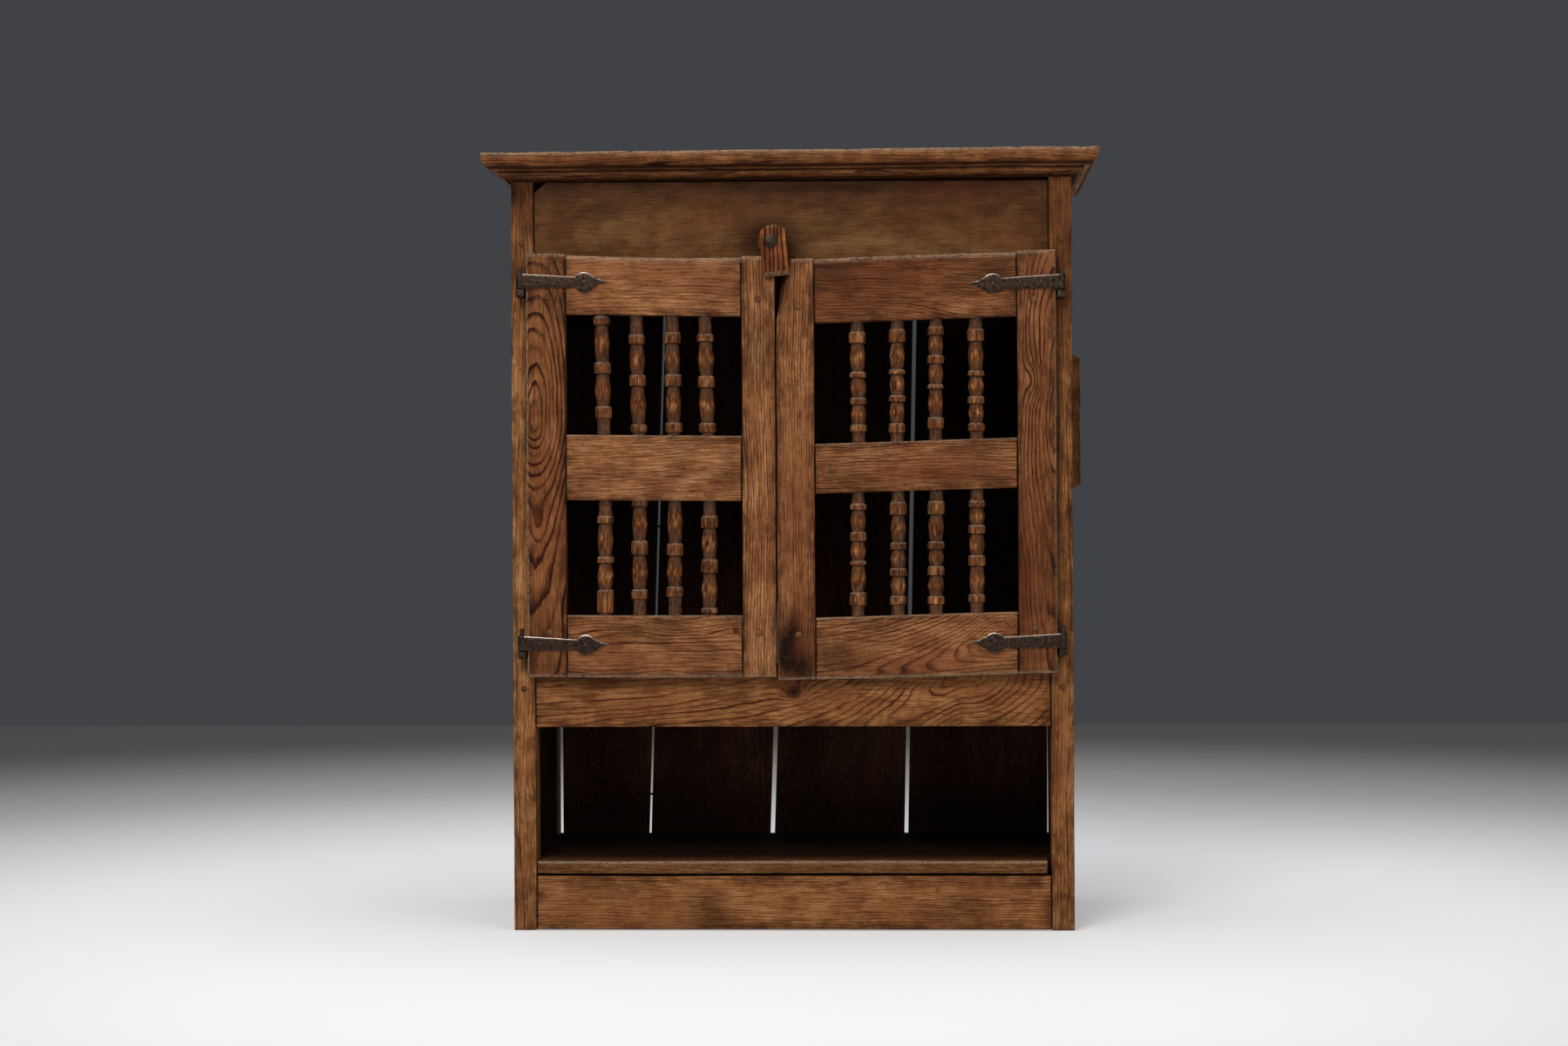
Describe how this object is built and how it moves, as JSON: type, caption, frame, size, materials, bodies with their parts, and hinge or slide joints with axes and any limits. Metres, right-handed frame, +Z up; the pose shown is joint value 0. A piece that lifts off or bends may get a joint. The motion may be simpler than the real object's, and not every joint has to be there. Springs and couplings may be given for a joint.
{
  "type": "trastero cabinet",
  "caption": "Rustic pine cupboard on corner posts, with spindled doors on strap hinges, a wooden turn button, an open lower compartment and a moulded cornice.",
  "frame": {"origin": "on the floor, midway across the width and midway between the cornice's front and the back", "axes": "+X to the right seen from the front, +Y towards the back, +Z up"},
  "size_m": [0.99, 0.4926, 1.255],
  "materials": {
    "carcass_pine": "old stained pine, worn and waxed",
    "rail_pine": "duller olive-brown stained pine",
    "board_pine": "rough sawn pine, dark with age",
    "door_pine": "old stained pine with strong grain",
    "spindle_pine": "turned pine, grey in the grooves and orange on the bellies",
    "peg_wood": "end-grain pegs",
    "button_pine": "reddish pine, worn by hands",
    "forged_iron": "hand-forged, dark, rubbed bright on the edges"
  },
  "bodies": {
    "carcass": {"front_post_left": "carcass_pine", "front_post_right": "carcass_pine", "rear_post_left": "carcass_pine", "rear_post_right": "carcass_pine", "front_top_rail": "rail_pine", "front_middle_rail": "rail_pine", "front_plinth_rail": "rail_pine", "rear_rails": "board_pine", "side_boards_left": "carcass_pine", "side_boards_right": "carcass_pine", "back_board_1": "board_pine", "back_board_2": "board_pine", "back_board_3": "board_pine", "back_board_4": "board_pine", "floor_board": "board_pine", "middle_shelf": "board_pine", "upper_shelf": "board_pine", "shelf_bearers": "board_pine", "cornice_front": "carcass_pine", "cornice_left": "carcass_pine", "cornice_right": "carcass_pine", "top_boards": "board_pine", "frame_pegs": "peg_wood", "side_grip": "carcass_pine", "hinge_pintles": "forged_iron", "latch_nail": "forged_iron", "carcass_nails": "forged_iron"},
    "latch": {"turn_button": "button_pine"},
    "door_left": {"door_left_hinge_stile": "door_pine", "door_left_meeting_stile": "door_pine", "door_left_top_rail": "door_pine", "door_left_middle_rail": "door_pine", "door_left_bottom_rail": "door_pine", "door_left_spindle_upper_1": "spindle_pine", "door_left_spindle_upper_2": "spindle_pine", "door_left_spindle_upper_3": "spindle_pine", "door_left_spindle_upper_4": "spindle_pine", "door_left_spindle_lower_1": "spindle_pine", "door_left_spindle_lower_2": "spindle_pine", "door_left_spindle_lower_3": "spindle_pine", "door_left_spindle_lower_4": "spindle_pine", "door_left_pegs": "peg_wood", "door_left_straps": "forged_iron", "door_left_strap_nails": "forged_iron"},
    "door_right": {"door_right_hinge_stile": "door_pine", "door_right_meeting_stile": "door_pine", "door_right_top_rail": "door_pine", "door_right_middle_rail": "door_pine", "door_right_bottom_rail": "door_pine", "door_right_spindle_upper_1": "spindle_pine", "door_right_spindle_upper_2": "spindle_pine", "door_right_spindle_upper_3": "spindle_pine", "door_right_spindle_upper_4": "spindle_pine", "door_right_spindle_lower_1": "spindle_pine", "door_right_spindle_lower_2": "spindle_pine", "door_right_spindle_lower_3": "spindle_pine", "door_right_spindle_lower_4": "spindle_pine", "door_right_pegs": "peg_wood", "door_right_straps": "forged_iron", "door_right_strap_nails": "forged_iron"}
  },
  "joints": [
    {"name": "door_left_swing", "type": "hinge", "parent": "carcass", "child": "door_left", "pos_m": [-0.435, -0.22525, 0.75], "axis": [0, 0, -1], "range_deg": [0, 170]},
    {"name": "door_right_swing", "type": "hinge", "parent": "carcass", "child": "door_right", "pos_m": [0.435, -0.22525, 0.75], "axis": [0, 0, 1], "range_deg": [0, 170]},
    {"name": "button_turn", "type": "hinge", "parent": "carcass", "child": "latch", "pos_m": [-0.029, -0.22, 1.1095], "axis": [0, 1, 0], "continuous": true}
  ]
}
